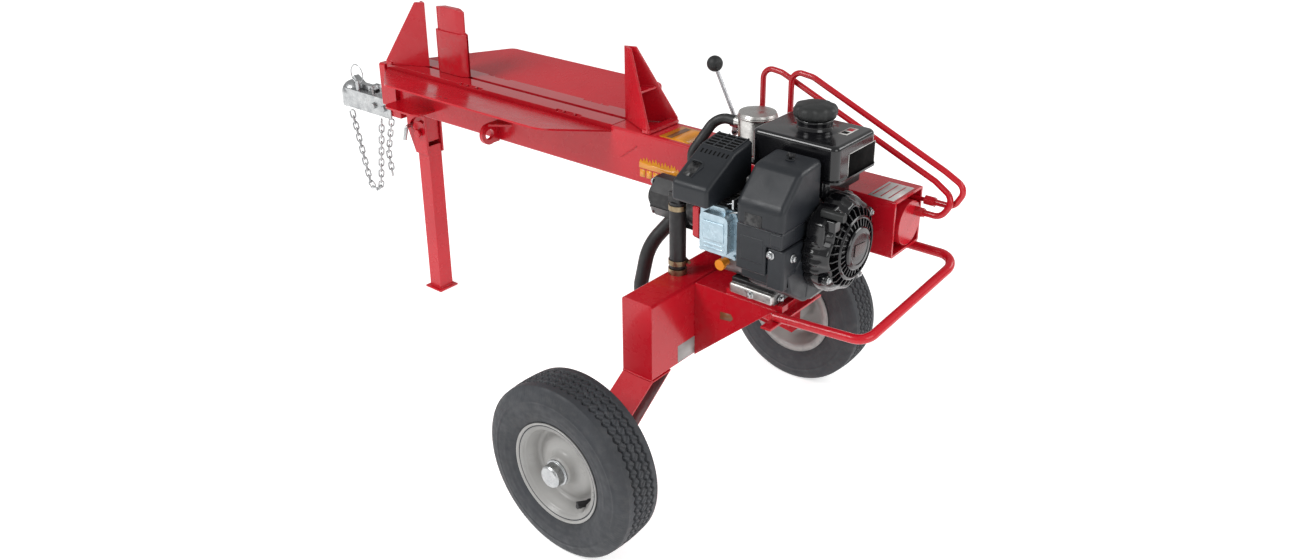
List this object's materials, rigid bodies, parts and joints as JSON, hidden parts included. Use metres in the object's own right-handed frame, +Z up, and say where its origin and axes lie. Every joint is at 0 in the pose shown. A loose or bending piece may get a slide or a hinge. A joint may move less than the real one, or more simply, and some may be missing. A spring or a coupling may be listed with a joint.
{
  "type": "log splitter",
  "caption": "Towable hydraulic log splitter: box beam with fixed end wedges and a sliding blade, petrol engine, pump, oil tank axle and trailer wheels.",
  "frame": {"origin": "middle of the bounding box in plan, on the ground", "axes": "+X along the beam from the hitch towards the engine end, +Y away from the engine side, +Z up"},
  "size_m": [2.1306, 1.073, 0.9587],
  "materials": {
    "red_frame_paint": "gloss crimson powder coat",
    "red_wedge_paint": "gloss crimson powder coat",
    "worn_red_slide": "gloss crimson, scuffed where the blade slides",
    "red_pipe": "gloss crimson over steel pipe",
    "bare_steel": "machined steel",
    "chrome_rod": "ground chrome",
    "zinc_plate": "bright zinc plate",
    "black_rubber": "smooth hose rubber",
    "tyre_rubber": "ribbed tyre rubber",
    "rim_paint": "light grey enamel",
    "cast_aluminium": "sand cast",
    "pale_blue_casting": "pale blue painted casting",
    "black_engine_plastic": "moulded satin black",
    "black_engine_steel": "satin black heat paint",
    "black_plastic": "moulded grain",
    "orange_plastic": "moulded",
    "black_pump_paint": "black painted casting",
    "filter_steel": "bright pressed steel"
  },
  "bodies": {
    "frame": {"air_cleaner": "black_engine_plastic", "axle_struts": "red_frame_paint", "beam_saddle": "red_frame_paint", "bumper_bar": "red_frame_paint", "coupler_body": "zinc_plate", "crankcase": "cast_aluminium", "cylinder_barrel": "red_pipe", "engine_mount": "red_frame_paint", "extend_pipe": "red_pipe", "filter_can": "filter_steel", "fuel_tank": "black_engine_plastic", "guide_rails": "worn_red_slide", "hitch_tongue": "red_frame_paint", "log_tray_far": "red_frame_paint", "log_tray_near": "red_frame_paint", "main_beam": "red_frame_paint", "mount_bolts": "zinc_plate", "muffler": "black_engine_steel", "oil_plug": "orange_plastic", "pipe_fittings": "red_pipe", "pressure_pipe": "black_pump_paint", "pump_body": "black_pump_paint", "pump_housing": "cast_aluminium", "recoil_cover": "black_engine_plastic", "reservoir": "red_frame_paint", "retract_pipe": "red_pipe", "return_hose": "black_rubber", "safety_chain_far": "zinc_plate", "safety_chain_near": "zinc_plate", "suction_fitting": "zinc_plate", "suction_hose": "black_rubber", "tow_eye": "red_frame_paint", "valve_body": "black_pump_paint", "valve_cover": "pale_blue_casting", "wedge_engine_end": "red_wedge_paint", "wedge_hitch_end": "red_wedge_paint", "wheel_spindles": "bare_steel"},
    "near_wheel": {"tyre_near": "tyre_rubber", "rim_near": "rim_paint", "dust_cap_near": "zinc_plate", "valve_stem_near": "black_rubber"},
    "far_wheel": {"tyre_far": "tyre_rubber", "rim_far": "rim_paint", "dust_cap_far": "zinc_plate", "valve_stem_far": "black_rubber"},
    "ram": {"ram_blade": "red_wedge_paint", "ram_carriage": "bare_steel", "piston_rod": "chrome_rod"},
    "valve_handle": {"lever_rod": "zinc_plate", "lever_knob": "black_plastic"},
    "spool": {"valve_spool": "chrome_rod"},
    "support_leg": {"leg_tube": "red_frame_paint", "leg_cheeks": "red_frame_paint"},
    "clamp_handle": {"leg_clamp_screw": "zinc_plate"},
    "filler_cap": {"fuel_cap": "black_plastic"},
    "crank": {"crankshaft": "bare_steel"},
    "starter_grip": {"recoil_grip": "black_plastic"},
    "hitch_latch": {"coupler_latch": "zinc_plate"},
    "safety_pin": {"latch_pin": "zinc_plate"}
  },
  "joints": [
    {"name": "near_wheel_spin", "type": "hinge", "parent": "frame", "child": "near_wheel", "pos_m": [0.52265, -0.4635, 0.206], "axis": [0, 1, 0], "continuous": true},
    {"name": "far_wheel_spin", "type": "hinge", "parent": "frame", "child": "far_wheel", "pos_m": [0.52265, 0.4635, 0.206], "axis": [0, 1, 0], "continuous": true},
    {"name": "ram_slide", "type": "slide", "parent": "frame", "child": "ram", "axis": [1, 0, 0], "range_m": [-0.045, 0.57]},
    {"name": "valve_handle_tilt", "type": "hinge", "parent": "frame", "child": "valve_handle", "pos_m": [0.45665, 0.2175, 0.766], "axis": [0, 1, 0], "range_deg": [-18, 18], "stiffness_Nm_per_rad": 6},
    {"name": "spool_slide", "type": "slide", "parent": "frame", "child": "spool", "axis": [1, 0, 0], "range_m": [-0.0065, 0.0065]},
    {"name": "leg_fold", "type": "hinge", "parent": "frame", "child": "support_leg", "pos_m": [-0.66735, 0.1675, 0.54], "axis": [0, -1, 0], "range_deg": [0, 90]},
    {"name": "leg_clamp_turn", "type": "hinge", "parent": "frame", "child": "clamp_handle", "pos_m": [-0.70635, 0.1675, 0.556], "axis": [0, -1, 0], "range_deg": [0, 120]},
    {"name": "fuel_cap_turn", "type": "hinge", "parent": "frame", "child": "filler_cap", "pos_m": [0.77865, 0.0535, 0.9], "axis": [0, 0, 1], "range_deg": [0, 120]},
    {"name": "crank_spin", "type": "hinge", "parent": "frame", "child": "crank", "pos_m": [0.52265, -0.0105, 0.676], "axis": [1, 0, 0], "continuous": true},
    {"name": "starter_pull", "type": "slide", "parent": "frame", "child": "starter_grip", "axis": [0, 0, 1], "range_m": [0, 0.12], "stiffness_N_per_m": 60},
    {"name": "latch_lift", "type": "hinge", "parent": "frame", "child": "hitch_latch", "pos_m": [-0.91735, 0.1675, 0.6285], "axis": [0, 1, 0], "range_deg": [0, 50]},
    {"name": "safety_pin_lift", "type": "slide", "parent": "frame", "child": "safety_pin", "axis": [0, 0, 1], "range_m": [0, 0.05]}
  ],
  "couplings": [
    {"joint": "spool_slide", "follows": "valve_handle_tilt", "m_per_rad": 0.0203}
  ]
}
